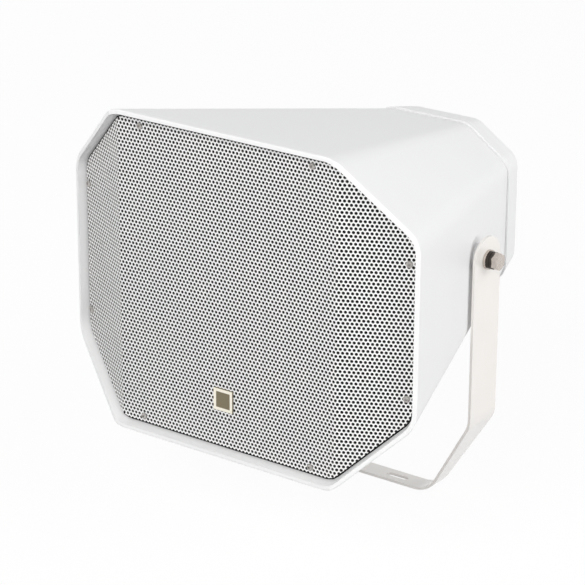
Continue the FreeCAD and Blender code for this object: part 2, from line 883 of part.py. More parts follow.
def driver_leads():
    # Two leads from the lugs, back over the magnet and down to the winding
    start = flange_front + landing_depth + driver_sheet + board_thickness + lug_thickness
    end = core_back + core_limb + core_limb
    floor = core_z + core_stack / 2 + winding_overhang
    leads = []
    for x in (-lug_spacing / 2, lug_spacing / 2):
        route = [Vector(x, start, lead_height), Vector(x, end, lead_height), Vector(x, end, floor)]
        path = Part.Wire(rounded_edges(route, lead_bend_share * (lead_height - floor), False))
        mouth = Part.Wire(Part.makeCircle(lead_radius, route[0], Vector(0, 1, 0)))
        leads.append(path.makePipeShell([mouth], True, True))
    return Part.makeCompound(leads)


def transformer_core():
    half = core_width / 2
    low = core_z - core_stack / 2
    block = box((-half, half), (core_back, core_foot), (low, low + core_stack))
    windows = []
    for side in (-1, 1):
        near = side * core_centre_limb / 2
        far = side * (half - core_limb)
        windows.append(box((min(near, far), max(near, far)), (core_back + core_limb, core_foot - core_limb),
                           (low - overcut, low + core_stack + overcut)))
    return block.cut(windows)


def transformer_winding():
    half = core_width / 2 - core_limb - winding_clearance
    inner = core_centre_limb / 2 + winding_clearance
    low = core_z - core_stack / 2
    front = core_back + core_limb + winding_clearance
    back = core_foot - core_limb - winding_clearance
    coil = box((-half, half), (front, back), (low - winding_overhang, low + core_stack + winding_overhang))
    upright = [edge for edge in coil.Edges if edge.BoundBox.YLength > overcut]
    coil = coil.makeFillet(winding_overhang / 2, upright)
    bore = box((-inner, inner), (front - overcut, back + overcut),
               (low - winding_clearance, low + core_stack + winding_clearance))
    return coil.cut(bore)


def transformer_clamp():
    # A steel channel over the core, with a foot each side
    half = core_width / 2
    low = core_z - core_stack / 2
    band = (low, low + core_stack)
    over = box((-half - clamp_sheet, half + clamp_sheet), (core_back - clamp_sheet, core_back), band)
    legs = []
    for side in (-1, 1):
        near = side * half
        far = side * (half + clamp_sheet)
        toe = side * (half + clamp_sheet + clamp_foot)
        legs.append(box((min(near, far), max(near, far)), (core_back - clamp_sheet, core_foot), band))
        legs.append(box((min(near, toe), max(near, toe)), (core_foot - clamp_sheet, core_foot), band))
    hole = clamp_screw_radius + hole_clearance
    holes = []
    for x, z in clamp_screw_places():
        holes.append(rod_back(hole, core_foot - overcut, core_foot + overcut, x, z))
    return over.fuse(legs).cut(holes).removeSplitter()


def transformer_screws():
    screws = []
    seat = core_foot - clamp_sheet
    for x, z in clamp_screw_places():
        head = rod_back(clamp_screw_head_radius, seat - clamp_screw_head_height, seat, x, z)
        shank = rod_back(clamp_screw_radius, seat, seat + clamp_screw_length, x, z)
        screws.append(head.fuse(shank))
    return Part.makeCompound(screws)


def on_gland(shape):
    shape.translate(Vector(0, cover_back, gland_z))
    return shape


def gland_body():
    outer_end = gland_flange_thickness + gland_outer_length
    flange = hexagon(gland_flange_across, Vector(0, 0, 0), Vector(0, gland_flange_thickness, 0))
    stem = rod_back(gland_thread_radius, -wall - gland_inner_length, outer_end)
    bore = rod_back(gland_bore_radius, -wall - gland_inner_length - overcut, outer_end + overcut)
    seat = rod_back(gland_seal_radius + fit_clearance, outer_end - gland_seat_depth, outer_end + overcut)
    return on_gland(flange.fuse(stem).cut([bore, seat]).removeSplitter())


def gland_locknut():
    start = Vector(0, -wall - locknut_thickness, 0)
    nut = hexagon(locknut_across, start, Vector(0, locknut_thickness, 0))
    bore = rod_back(gland_thread_radius + thread_clearance, start.y - overcut, overcut)
    return on_gland(nut.cut(bore))


def gland_seal():
    front = gland_flange_thickness + gland_outer_length - gland_seat_depth
    return on_gland(ring_back(gland_seal_radius, cable_radius, front, front + gland_seal_length))


def gland_nut():
    front = gland_flange_thickness + running_clearance
    seal_end = gland_flange_thickness + gland_outer_length - gland_seat_depth + gland_seal_length
    back = front + gland_nut_length
    dome = rod_back(gland_nut_radius, front, back)
    edge = [edge for edge in dome.Edges if edge.BoundBox.YMin > back - overcut / 2]
    dome = dome.makeFillet(gland_nut_round, edge)
    dome = dome.common(hexagon(gland_nut_across, Vector(0, front, 0), Vector(0, gland_nut_length, 0)))
    bore = rod_back(gland_thread_radius + thread_clearance, front - overcut, seal_end + fit_clearance)
    mouth = rod_back(gland_nut_mouth_radius, front, back + overcut)
    return on_gland(dome.cut([bore, mouth]))


bracket_nodes = [mounting_bracket]
speaker_nodes = [
    horn_body, rear_cover_gasket, rear_cover, rear_cover_screws, front_grille, dust_screen, grille_screws,
    pivot_bolts, pivot_spring_washers, pivot_flat_washers, pivot_inserts,
    driver_gasket, driver_frame, driver_screws, driver_top_plate, driver_magnet, driver_yoke,
    driver_surround, driver_spider, driver_cone, driver_dust_cap, coil_former, voice_coil,
    terminal_board, terminal_lugs, driver_leads,
    transformer_core, transformer_winding, transformer_clamp, transformer_screws,
    gland_body, gland_locknut, gland_seal, gland_nut,
]

os.makedirs("parts", exist_ok=True)
on_pivot = Vector(0, -pivot_depth, pivot_height - pivot_rise)
for make in bracket_nodes + speaker_nodes:
    shape = make()
    if make in speaker_nodes:
        shape.translate(on_pivot)
    shape.exportStep("parts/" + make.__name__ + ".step")
    print(make.__name__, len(shape.Solids), "solids", round(shape.Volume / 1000, 2), "cm3", shape.isValid())
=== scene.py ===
import math

import bmesh
import bpy
from mathutils import Matrix, Vector
from mathutils.geometry import convex_hull_2d


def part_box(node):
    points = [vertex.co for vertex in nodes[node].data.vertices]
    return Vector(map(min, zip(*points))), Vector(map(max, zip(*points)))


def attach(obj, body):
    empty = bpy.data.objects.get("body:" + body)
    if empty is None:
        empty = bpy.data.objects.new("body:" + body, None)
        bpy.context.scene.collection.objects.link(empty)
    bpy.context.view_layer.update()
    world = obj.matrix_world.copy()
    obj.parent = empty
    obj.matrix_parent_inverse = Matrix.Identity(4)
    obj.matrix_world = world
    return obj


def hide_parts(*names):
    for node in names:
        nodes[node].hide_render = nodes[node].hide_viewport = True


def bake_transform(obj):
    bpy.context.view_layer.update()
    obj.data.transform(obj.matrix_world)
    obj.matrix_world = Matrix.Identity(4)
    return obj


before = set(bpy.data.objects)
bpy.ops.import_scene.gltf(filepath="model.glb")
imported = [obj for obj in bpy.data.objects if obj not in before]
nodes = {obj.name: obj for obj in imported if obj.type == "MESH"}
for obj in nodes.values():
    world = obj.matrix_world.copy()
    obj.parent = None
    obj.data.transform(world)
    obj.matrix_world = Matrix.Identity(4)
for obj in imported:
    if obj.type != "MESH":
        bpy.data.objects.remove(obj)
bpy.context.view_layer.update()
scene = bpy.context.scene
scene.view_settings.view_transform = "Standard"
mm = 0.001
print("frame loaded:", len(nodes), "nodes")

# camera, matched to the photograph
shot = dict(place=(0.98274, -1.43390, 0.80518), azimuth=35.998, elevation=21.068, roll=0.291,
            lens=160.55, sensor=36.0)


def setCamera():
    camera = bpy.data.cameras.new("camera")
    camera.lens = shot["lens"]
    camera.sensor_width = shot["sensor"]
    holder = bpy.data.objects.new("camera", camera)
    turn = Matrix.Rotation(math.radians(shot["azimuth"]), 4, "Z")
    nod = Matrix.Rotation(math.radians(90 - shot["elevation"]), 4, "X")
    roll = Matrix.Rotation(math.radians(shot["roll"]), 4, "Z")
    holder.matrix_world = Matrix.Translation(shot["place"]) @ turn @ nod @ roll
    scene.collection.objects.link(holder)
    scene.camera = holder


setCamera()
print("camera set")


class Socket:  # one output of a node; sums on it add Math nodes to its material
    def __init__(self, tree, plug=None):
        self.tree = tree
        self.plug = plug

    def node(self, kind, settings, plugs, out=0):  # every other node comes from here
        made = self.tree.nodes.new("ShaderNode" + kind)
        for key, value in settings.items():
            setattr(made, key, value)
        for key, value in plugs.items():
            if isinstance(value, Socket):
                self.tree.links.new(value.plug, made.inputs[key])
            else:
                made.inputs[key].default_value = value
        return Socket(self.tree, made.outputs[out]) if len(made.outputs) else None

    def maths(self, operation, first, second):
        return self.node("Math", {"operation": operation}, {0: first, 1: second})

    def __add__(self, other):
        return self.maths("ADD", self, other)

    def __radd__(self, other):
        return self.maths("ADD", other, self)

    def __sub__(self, other):
        return self.maths("SUBTRACT", self, other)

    def __rsub__(self, other):
        return self.maths("SUBTRACT", other, self)

    def __mul__(self, other):
        return self.maths("MULTIPLY", self, other)

    def __rmul__(self, other):
        return self.maths("MULTIPLY", other, self)

    def __gt__(self, other):
        return self.maths("GREATER_THAN", self, other)


def tone(red, green, blue):  # screen colour, 0 to 255, as the linear colour that a shader takes
    levels = [value / 255 for value in (red, green, blue)]
    linear = [v / 12.92 if v <= 0.04045 else ((v + 0.055) / 1.055) ** 2.4 for v in levels]
    return (*linear, 1)


def startFinish(name):
    material = bpy.data.materials.new(name)
    material.use_nodes = True
    material.node_tree.nodes.clear()
    s = Socket(material.node_tree)
    return material, s, s.node("TexCoord", {}, {}, "Object")


def noise(s, place, scale, detail=2.0):
    return s.node("TexNoise", {}, {"Vector": place, "Scale": scale, "Detail": detail}, "Fac")


def stretched(s, place, scale):  # coordinates scaled by a different amount along each axis
    return s.node("VectorMath", {"operation": "MULTIPLY"}, {0: place, 1: scale})


def mixColour(s, factor, first, second):
    return s.node("Mix", {"data_type": "RGBA"}, {0: factor, 6: first, 7: second}, 2)


def bumped(s, height, depth, strength=1.0):
    return s.node("Bump", {}, {"Height": height, "Distance": depth, "Strength": strength})


def finishWith(s, plugs):
    shader = s.node("BsdfPrincipled", {}, plugs)
    s.node("OutputMaterial", {}, {"Surface": shader})


# how the patterns of one surface are weighed against each other
shares = dict(speckScale=3.1, speckHeight=0.4, weave=0.7, fuzzHeight=0.3, fuzzRough=0.1, fibre=0.5,
              pulpHeight=0.5, pulpRough=0.2, bands=0.8, stainRough=0.2, coatRough=0.12, sideways=0.5)


# moulded plastic and sprayed or powder-coated paint: soft clouding, a fine skin, a little uneven gloss
def moulded(name, look):
    material, s, place = startFinish(name)
    cloud = noise(s, place, look["cloud"], detail=3.0)
    skin = noise(s, place, look["skin"])
    speck = noise(s, place, look["skin"] * shares["speckScale"], detail=1.0)
    colour = mixColour(s, cloud, look["shade"], look["colour"])
    if "paintedHoleShade" in look:  # painted shade: the hole walls are darkened to stand in for the shade inside the holes
        facing = s.node("SeparateXYZ", {}, {0: s.node("TexCoord", {}, {}, "Normal")}, "Y")
        colour = mixColour(s, facing * facing > shares["sideways"], look["paintedHoleShade"], colour)
    rough = look["rough"] + (cloud - 0.5) * look["uneven"] + (skin - 0.5) * look["uneven"]
    normal = bumped(s, skin + speck * shares["speckHeight"], look["depth"])
    finishWith(s, {"Base Color": colour, "Roughness": rough, "Normal": normal,
                   "Specular IOR Level": look.get("gloss", 0.5), "Coat Weight": look.get("coat", 0.0),
                   "Coat Roughness": shares["coatRough"]})
    return material


# plated and stainless steel, brass: fine lines from tooling, blotchy clouds of stain, and on the screw heads
# also of painted reflection
def metal(name, look):
    material, s, place = startFinish(name)
    lines = noise(s, stretched(s, place, look["lines"]), 1.0, detail=3.0)
    blotches = noise(s, place, look["blotches"], detail=4.0)
    colour = mixColour(s, blotches, look["shade"], look["colour"])
    rough = look["rough"] + (lines - 0.5) * look["uneven"] + (blotches - 0.5) * look["uneven"]
    normal = bumped(s, lines, look["depth"])
    finishWith(s, {"Base Color": colour, "Roughness": rough, "Metallic": 1.0, "Normal": normal})
    return material


# woven cloth: two sets of threads, over and under by turns
def woven(name, look):
    material, s, place = startFinish(name)
    grid = stretched(s, place, look["threads"])
    threads = {"Vector": grid, "Scale": 1.0, "Distortion": 0.3}
    warp = s.node("TexWave", {"bands_direction": "X"}, threads, "Fac")
    weft = s.node("TexWave", {"bands_direction": "Z"}, threads, "Fac")
    fuzz = noise(s, place, look["fuzz"], detail=4.0)
    weave = s.maths("MAXIMUM", warp, weft)
    worn = weave * shares["weave"] + fuzz * (1 - shares["weave"])
    colour = mixColour(s, worn, look["shade"], look["colour"])
    rough = look["rough"] + (fuzz - 0.5) * shares["fuzzRough"]
    normal = bumped(s, weave + fuzz * shares["fuzzHeight"], look["depth"])
    finishWith(s, {"Base Color": colour, "Roughness": rough, "Normal": normal})
    return material


# paper, card and laminated board: long pressed fibres
def fibrous(name, look):
    material, s, place = startFinish(name)
    fibre = noise(s, stretched(s, place, look["fibre"]), 1.0, detail=5.0)
    pulp = noise(s, place, look["pulp"], detail=4.0)
    mottle = fibre * shares["fibre"] + pulp * (1 - shares["fibre"])
    colour = mixColour(s, mottle, look["shade"], look["colour"])
    rough = look["rough"] + (pulp - 0.5) * shares["pulpRough"]
    normal = bumped(s, fibre + pulp * shares["pulpHeight"], look["depth"])
    finishWith(s, {"Base Color": colour, "Roughness": rough, "Normal": normal})
    return material


# layers that show as stripes: wire turns, steel laminations, wound tape
def layered(name, look):
    material, s, place = startFinish(name)
    bands = s.node("TexWave", {"bands_direction": look["across"], "wave_profile": look["profile"]},
                   {"Vector": place, "Scale": look["layers"], "Distortion": look["waver"], "Detail": 1.0,
                    "Detail Scale": 2.0}, "Fac")
    blotches = noise(s, place, look["blotches"], detail=3.0)
    stripes = bands * shares["bands"] + blotches * (1 - shares["bands"])
    colour = mixColour(s, stripes, look["shade"], look["colour"])
    rough = look["rough"] + (blotches - 0.5) * shares["stainRough"]
    normal = bumped(s, bands, look["depth"])
    finishWith(s, {"Base Color": colour, "Roughness": rough, "Metallic": look["metallic"], "Normal": normal})
    return material


whiteShell = dict(colour=tone(240, 240, 240), shade=tone(235, 235, 236), cloud=9.0, skin=1100.0, rough=0.42,
                  uneven=0.10, depth=0.00002)
# the dark colour for the hole walls is painted shade, standing in for the shade inside the holes
whiteGrille = dict(colour=tone(240, 239, 238), shade=tone(234, 234, 235), paintedHoleShade=tone(132, 129, 126),
                   cloud=30.0, skin=900.0, rough=0.40, uneven=0.12, depth=0.00003)
whiteBracket = dict(colour=tone(240, 236, 232), shade=tone(234, 230, 226), cloud=26.0, skin=800.0,
                    rough=0.34, uneven=0.14, depth=0.00003, coat=1.0)
seamRubber = dict(colour=tone(232, 232, 231), shade=tone(222, 222, 221), cloud=60.0, skin=1500.0, rough=0.7,
                  uneven=0.15, depth=0.00003, gloss=0.3)
blackRubber = dict(colour=tone(34, 34, 35), shade=tone(24, 24, 24), cloud=80.0, skin=1600.0, rough=0.62,
                   uneven=0.15, depth=0.00003, gloss=0.35)
greyNylon = dict(colour=tone(226, 226, 222), shade=tone(216, 216, 213), cloud=50.0, skin=1300.0, rough=0.5,
                 uneven=0.12, depth=0.00002)
blackPaint = dict(colour=tone(44, 45, 48), shade=tone(30, 30, 32), cloud=40.0, skin=700.0, rough=0.5,
                  uneven=0.2, depth=0.00004)
ferriteStone = dict(colour=tone(72, 70, 70), shade=tone(50, 48, 49), cloud=160.0, skin=500.0, rough=0.75,
                    uneven=0.2, depth=0.00008, gloss=0.3)
leadSkin = dict(colour=tone(170, 40, 36), shade=tone(146, 30, 28), cloud=90.0, skin=1400.0, rough=0.45,
                uneven=0.12, depth=0.00002)

brightSteel = dict(colour=tone(214, 206, 199), shade=tone(190, 181, 174), lines=(9000.0, 600.0, 600.0),
                   blotches=180.0, rough=0.26, uneven=0.14, depth=0.00001)
springSteel = dict(colour=tone(96, 90, 86), shade=tone(58, 54, 52), lines=(600.0, 4000.0, 4000.0),
                   blotches=300.0, rough=0.42, uneven=0.2, depth=0.00002)
# screw heads: the wide spread between colour and shade paints bright and dark reflections into the blotchy
# clouds, over the steel's own stains
screwSteel = dict(colour=tone(236, 232, 228), shade=tone(104, 100, 97), lines=(3000.0, 3000.0, 400.0),
                  blotches=700.0, rough=0.34, uneven=0.16, depth=0.00002)
insertBrass = dict(colour=tone(214, 178, 106), shade=tone(176, 138, 74), lines=(3000.0, 500.0, 500.0),
                   blotches=200.0, rough=0.34, uneven=0.18, depth=0.00002)
plateSteel = dict(colour=tone(188, 186, 176), shade=tone(150, 148, 140), lines=(800.0, 800.0, 800.0),
                  blotches=90.0, rough=0.38, uneven=0.2, depth=0.00002)

screenCloth = dict(colour=tone(22, 21, 21), shade=tone(7, 7, 7), threads=(1400.0, 1400.0, 1400.0),
                   fuzz=2400.0, rough=0.9, depth=0.00008)
spiderCloth = dict(colour=tone(206, 164, 96), shade=tone(160, 118, 60), threads=(900.0, 900.0, 900.0),
                   fuzz=1500.0, rough=0.85, depth=0.00008)
conePaper = dict(colour=tone(62, 60, 58), shade=tone(38, 37, 36), fibre=(900.0, 300.0, 900.0), pulp=260.0,
                 rough=0.85, depth=0.00012)
formerCard = dict(colour=tone(176, 124, 74), shade=tone(140, 94, 52), fibre=(700.0, 120.0, 700.0),
                  pulp=300.0, rough=0.6, depth=0.00003)
terminalBoard = dict(colour=tone(132, 84, 50), shade=tone(100, 60, 34), fibre=(260.0, 900.0, 900.0),
                     pulp=400.0, rough=0.5, depth=0.00003)
copperTurns = dict(colour=tone(214, 122, 72), shade=tone(110, 52, 28), across="Y", profile="SIN",
                   layers=420.0, waver=0.2, blotches=120.0, rough=0.3, metallic=1.0, depth=0.0001)
coreLayers = dict(colour=tone(150, 148, 146), shade=tone(70, 66, 64), across="Z", profile="SIN",
                  layers=320.0, waver=0.3, blotches=140.0, rough=0.5, metallic=0.8, depth=0.00008)
windingTape = dict(colour=tone(232, 196, 92), shade=tone(206, 164, 62), across="Y", profile="SAW",
                   layers=12.0, waver=0.4, blotches=70.0, rough=0.35, metallic=0.0, depth=0.00006)

finishes = {
    "white_shell": moulded("whiteShell", whiteShell),
    "white_grille": moulded("whiteGrille", whiteGrille),
    "white_bracket": moulded("whiteBracket", whiteBracket),
    "gasket_rubber": moulded("seamRubber", seamRubber),
    "surround_rubber": moulded("surroundRubber", blackRubber),
    "gland_rubber": moulded("glandRubber", blackRubber),
    "gland_plastic": moulded("greyNylon", greyNylon),
    "frame_paint": moulded("blackPaint", blackPaint),
    "ferrite": moulded("ferriteStone", ferriteStone),
    "lead_skin": moulded("leadSkin", leadSkin),
    "bright_steel": metal("brightSteel", brightSteel),
    "spring_steel": metal("springSteel", springSteel),
    "screw_steel": metal("screwSteel", screwSteel),
    "insert_brass": metal("insertBrass", insertBrass),
    "pole_steel": metal("poleSteel", plateSteel),
    "clamp_steel": metal("clampSteel", plateSteel),
    "screen_cloth": woven("screenCloth", screenCloth),
    "spider_cloth": woven("spiderCloth", spiderCloth),
    "cone_paper": fibrous("conePaper", conePaper),
    "former_card": fibrous("formerCard", formerCard),
    "board_brown": fibrous("terminalBoard", terminalBoard),
    "coil_copper": layered("copperTurns", copperTurns),
    "core_steel": layered("coreLayers", coreLayers),
    "winding_tape": layered("windingTape", windingTape),
}


def dressNodes():
    for name, part in nodes.items():
        slotName = part.data.materials[0].name.split(".")[0]
        part.data.materials[0] = finishes[slotName]


dressNodes()
print("finishes made:", len(finishes))


cutSlack = 1e-7  # metres, how near a point counts as on a cutting plane
weldGap = 1e-6  # metres, how near two points are made one


def linkMesh(mesh):
    shape = bpy.data.objects.new(mesh.name, mesh)
    scene.collection.objects.link(shape)
    return shape


def meshObject(name, vertices, faces):
    mesh = bpy.data.meshes.new(name)
    mesh.from_pydata(vertices, [], faces)
    return linkMesh(mesh)


def addPiece(name, vertices, faces, body, slot):
    piece = meshObject(name, vertices, faces)
    piece.data.validate()
    piece.data.materials.append(finishes[slot])
    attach(piece, body)
    return piece


def shadeSmooth(piece, degrees):
    mesh = piece.data
    mesh.shade_smooth()
    mesh.set_sharp_from_angle(angle=math.radians(degrees))


# perforated front: round holes on a staggered pitch, cut off at the sheet's edge and carried over the folds
# gap is how far the edge stays inside the solid sheet's, so that the black cloth shows as a thin line
grille = dict(mouthWidth=285 * mm, panelWidth=182.4 * mm, wingSetback=23.7 * mm, recess=6.5 * mm,
              sheet=0.6 * mm, pitch=3 * mm, hole=2.2 * mm, sides=12, gap=1.3 * mm, near=0.05 * mm,
              spareRows=3)

rowPitch = grille["pitch"] * math.sqrt(3) / 2
foldAngle = math.atan2(grille["wingSetback"], (grille["mouthWidth"] - grille["panelWidth"]) / 2)
foldShift = math.tan(foldAngle / 2)  # how far a fold moves in for each step back
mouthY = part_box("horn_body")[0].y
middleZ = sum(corner.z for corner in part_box("front_grille")) / 2
foldRun = grille["panelWidth"] / 2 - grille["recess"] * foldShift


def sheetPoint(run, z, behind=0.0):  # run is measured along the folded sheet's front face
    shift = behind * foldShift
    side = math.copysign(1.0, run)
    past = max(abs(run) - foldRun - shift, 0.0)
    x = min(abs(run), foldRun - shift) + past * math.cos(foldAngle)
    y = mouthY + grille["recess"] + behind + past * math.sin(foldAngle)
    return Vector((side * x, y, middleZ + z))


def sheetNormal(run):  # straight out of the sheet's front
    turn = math.copysign(foldAngle, run) if abs(run) > foldRun else 0.0
    return Vector((math.sin(turn), -math.cos(turn), 0.0))


def sheetOutline():  # the solid sheet's own edge, laid flat
    flat = []
    for vertex in nodes["front_grille"].data.vertices:
        x, y, z = vertex.co
        back = y - mouthY
        out = abs(x) - grille["panelWidth"] / 2
        setback = min(back, back * math.cos(foldAngle) - out * math.sin(foldAngle))
        if abs(setback - grille["recess"]) > grille["near"]:  # only points of the front face
            continue
        past = out * math.cos(foldAngle) + back * math.sin(foldAngle) - grille["recess"] * foldShift
        run = abs(x) if abs(x) <= foldRun else foldRun + past
        flat.append((math.copysign(run, x), z - middleZ))
    return [Vector(flat[index]) for index in convex_hull_2d(flat)]


def holeRing(row, column):
    x = (column + 0.5 * (row % 2)) * grille["pitch"]
    z = row * rowPitch
    ring = []
    for step in range(grille["sides"]):
        angle = 2 * math.pi * step / grille["sides"]
        ring.append((x + grille["hole"] / 2 * math.cos(angle), z + grille["hole"] / 2 * math.sin(angle)))
    return ring


def flatSheet(outline):
    reachX = int(max(point.x for point in outline) / grille["pitch"]) + grille["spareRows"]
    reachZ = int(max(point.y for point in outline) / rowPitch) + grille["spareRows"]
    sides = grille["sides"]
    sixth = sides // 6
    points = []
    first = {}
    for row in range(-reachZ, reachZ + 1):
        for column in range(-reachX, reachX + 1):
            first[row, column] = len(points)
            points += [(x, z, 0.0) for x, z in holeRing(row, column)]

    def arc(hole, start, end):  # a sixth of a hole's edge, by its ends counted in sixths
        way = 1 if end > start else -1
        return [first[hole] + step % sides for step in range(start * sixth, end * sixth + way, way)]

    faces = []
    for row in range(-reachZ, reachZ):
        shift = row % 2
        for column in range(1 - reachX, reachX):
            here = (row, column)
            right = (row, column + 1)
            upRight = (row + 1, column + shift)
            upLeft = (row + 1, column + shift - 1)
            faces.append(arc(right, 3, 2) + arc(upRight, 5, 4) + arc(here, 1, 0))
            faces.append(arc(upRight, 4, 3) + arc(upLeft, 6, 5) + arc(here, 2, 1))
    mesh = bpy.data.meshes.new("flatSheet")
    mesh.from_pydata(points, [], faces)
    flat = bmesh.new()
    flat.from_mesh(mesh)
    bpy.data.meshes.remove(mesh)
    bmesh.ops.triangulate(flat, faces=flat.faces[:])
    return flat


def cutFlat(flat, point, normal, drop):
    parts = flat.verts[:] + flat.edges[:] + flat.faces[:]
    bmesh.ops.bisect_plane(flat, geom=parts, dist=cutSlack, plane_co=(*point, 0.0), plane_no=(*normal, 0.0),
                           clear_outer=drop)


def trimSheet(flat, outline):
    for index, corner in enumerate(outline):
        along = outline[(index + 1) % len(outline)] - corner
        outward = Vector((along.y, -along.x)).normalized()
        if outward.dot(corner) < 0:
            outward = -outward
        cutFlat(flat, corner - outward * grille["gap"], outward, True)
    for run in (-foldRun, 0.0, foldRun):
        cutFlat(flat, (run, 0.0), (1.0, 0.0), False)


# the part of the flat sheet between two runs, folded and given its thickness
def foldPanel(name, flat, low, high):
    chosen = [face for face in flat.faces if low < face.calc_center_median().x < high]
    index = {}
    vertices = []
    faces = []
    edges = {}
    for face in chosen:
        corners = [index.setdefault(vertex, len(index)) for vertex in face.verts]
        faces.append(corners)
        for pair in zip(corners, corners[1:] + corners[:1]):
            edges[pair] = True
    count = len(index)
    for behind in (0.0, grille["sheet"]):
        vertices += [sheetPoint(vertex.co.x, vertex.co.y, behind) for vertex in index]
    faces += [[corner + count for corner in reversed(face)] for face in faces]
    for start, end in edges:
        if (end, start) not in edges:
            faces.append([end, start, start + count, end + count])
    piece = addPiece(name, vertices, faces, "speaker", "white_grille")
    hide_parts("front_grille")


def buildGrille():
    outline = sheetOutline()
    flat = flatSheet(outline)
    trimSheet(flat, outline)
    edge = grille["mouthWidth"]
    foldPanel("grilleLeftWing", flat, -edge, -foldRun)
    foldPanel("grilleCentreLeft", flat, -foldRun, 0.0)
    foldPanel("grilleCentreRight", flat, 0.0, foldRun)
    foldPanel("grilleRightWing", flat, foldRun, edge)
    flat.free()


buildGrille()
print("perforated front built")

# cross-head screws
grilleScrews = dict(spacing=141 * mm, wingSpacing=93 * mm, inset=10.4 * mm, wingInset=8 * mm, head=2.3 * mm,
                    height=1.6 * mm, shank=1.25 * mm, length=11 * mm)
coverScrews = dict(x=40 * mm, z=43 * mm, head=3.8 * mm, height=3 * mm, shank=2 * mm, length=33 * mm,
                   sunk=5 * mm)
panHead = dict(flat=0.35, steps=6, sides=40, spin=0.7, smooth=30)
crossSlot = dict(across=0.62, width=0.17, depth=0.62, narrow=0.55)  # shares of the head's radius and height


def latheRings(profile, steps):  # rings of points about Z, with the two ends closed by a flat face
    vertices = []
    faces = []
    for radius, height in profile:
        for step in range(steps):
            angle = 2 * math.pi * step / steps
            vertices.append((radius * math.cos(angle), radius * math.sin(angle), height))
    for ring in range(len(profile) - 1):
        for step in range(steps):
            following = (step + 1) % steps
            low = ring * steps
            high = low + steps
            faces.append((low + following, low + step, high + step, high + following))
    faces.append(tuple(range(steps)))
    faces.append(tuple(reversed(range(len(vertices) - steps, len(vertices)))))
    return vertices, faces


def crossCutter(head, height):
    vertices = []
    faces = []
    reach = crossSlot["across"] * head
    half = crossSlot["width"] * head
    floor = height * (1 - crossSlot["depth"])
    for turn in (False, True):
        start = len(vertices)
        for level, share in ((floor, crossSlot["narrow"]), (2 * height, 1.0)):
            for x, y in ((-reach, -half), (reach, -half), (reach, half), (-reach, half)):
                vertices.append((y * share, x * share, level) if turn else (x * share, y * share, level))
        ring = [start + step for step in range(4)]
        loops = [ring[::-1], [step + 4 for step in ring]]
        loops += [[a, b, b + 4, a + 4] for a, b in zip(ring, ring[1:] + ring[:1])]
        faces += [loop[::-1] for loop in loops] if turn else loops
    return meshObject("crossCutter", vertices, faces)


def screwShape(look):
    head = look["head"]
    height = look["height"]
    flat = panHead["flat"]
    profile = [(head * flat, height)]
    for step in range(1, panHead["steps"] + 1):  # the head's rounded shoulder
        angle = math.radians(90 - step * 90 / panHead["steps"])
        out = flat + (1 - flat) * math.cos(angle)
        up = flat + (1 - flat) * math.sin(angle)
        profile.append((head * out, height * up))
    profile += [(head, 0.0), (look["shank"], 0.0), (look["shank"], -look["length"])]
    screw = meshObject("screw", *latheRings(profile, panHead["sides"]))
    cutter = crossCutter(head, height)
    cut = screw.modifiers.new("cross", "BOOLEAN")
    cut.operation = "DIFFERENCE"
    cut.use_self = True
    cut.object = cutter
    ready = screw.evaluated_get(bpy.context.evaluated_depsgraph_get())
    vertices = [vertex.co.copy() for vertex in ready.data.vertices]
    faces = [list(face.vertices) for face in ready.data.polygons]
    for used in (screw, cutter):
        bpy.data.objects.remove(used)
    return vertices, faces


def screwSet(name, look, seats, node):
    vertices, faces = screwShape(look)
    allVertices = []
    allFaces = []
    for number, (seat, outward) in enumerate(seats):
        spin = Matrix.Rotation(number * panHead["spin"], 3, "Z")  # no two slots line up
        turn = outward.to_track_quat("Z", "Y").to_matrix() @ spin
        start = len(allVertices)
        allVertices += [seat + turn @ vertex for vertex in vertices]
        allFaces += [[start + corner for corner in face] for face in faces]
    piece = addPiece(name, allVertices, allFaces, "speaker", "screw_steel")
    shadeSmooth(piece, panHead["smooth"])
    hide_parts(node)


def grilleSeats():
    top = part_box("horn_body")[1].z - middleZ - grilleScrews["inset"]
    wingLength = math.hypot(grille["wingSetback"], (grille["mouthWidth"] - grille["panelWidth"]) / 2)
    wing = foldRun + wingLength - grilleScrews["wingInset"] - grille["recess"] * foldShift
    runs = []
    for side in (-1, 1):
        for end in (-1, 1):
            runs.append((side * grilleScrews["spacing"] / 2, end * top))
            runs.append((side * wing, end * grilleScrews["wingSpacing"] / 2))
    return [(sheetPoint(run, z), sheetNormal(run)) for run, z in runs]


def coverSeats():
    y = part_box("rear_cover")[1].y - coverScrews["sunk"]
    seats = []
    for x in (-coverScrews["x"], coverScrews["x"]):
        for z in (-coverScrews["z"], coverScrews["z"]):
            seats.append((Vector((x, y, middleZ + z)), Vector((0.0, 1.0, 0.0))))
    return seats


screwSet("grilleScrews", grilleScrews, grilleSeats(), "grille_screws")
screwSet("coverScrews", coverScrews, coverSeats(), "rear_cover_screws")
print("screws built")

# bare plate low on the grille
plate = dict(run=-1.2 * mm, z=-75 * mm, size=16 * mm, thickness=1.4 * mm, border=2.1 * mm,
             sunk=0.35 * mm, round=0.8 * mm, leastRound=0.2 * mm, bevel=0.3 * mm, cornerSteps=5, smooth=25,
             edge=(tone(236, 230, 214), tone(246, 241, 228)), field=(tone(112, 103, 82), tone(134, 124, 100)),
             lines=(300.0, 300.0, 6000.0), rough=0.34, uneven=0.2, edgeMetal=0.3, fieldMetal=0.5,
             depth=0.00002)


def roundedSquare(half, radius, out, seat):
    loop = []
    for quarter in range(4):
        for step in range(plate["cornerSteps"] + 1):
            angle = math.radians(quarter * 90 + step * 90 / plate["cornerSteps"])
            centre = math.radians(quarter * 90 + 45)
            x = (half - radius) * math.copysign(1, math.cos(centre)) + radius * math.cos(angle)
            z = (half - radius) * math.copysign(1, math.sin(centre)) + radius * math.sin(angle)
            loop.append(seat + Vector((x, -out, z)))
    return loop


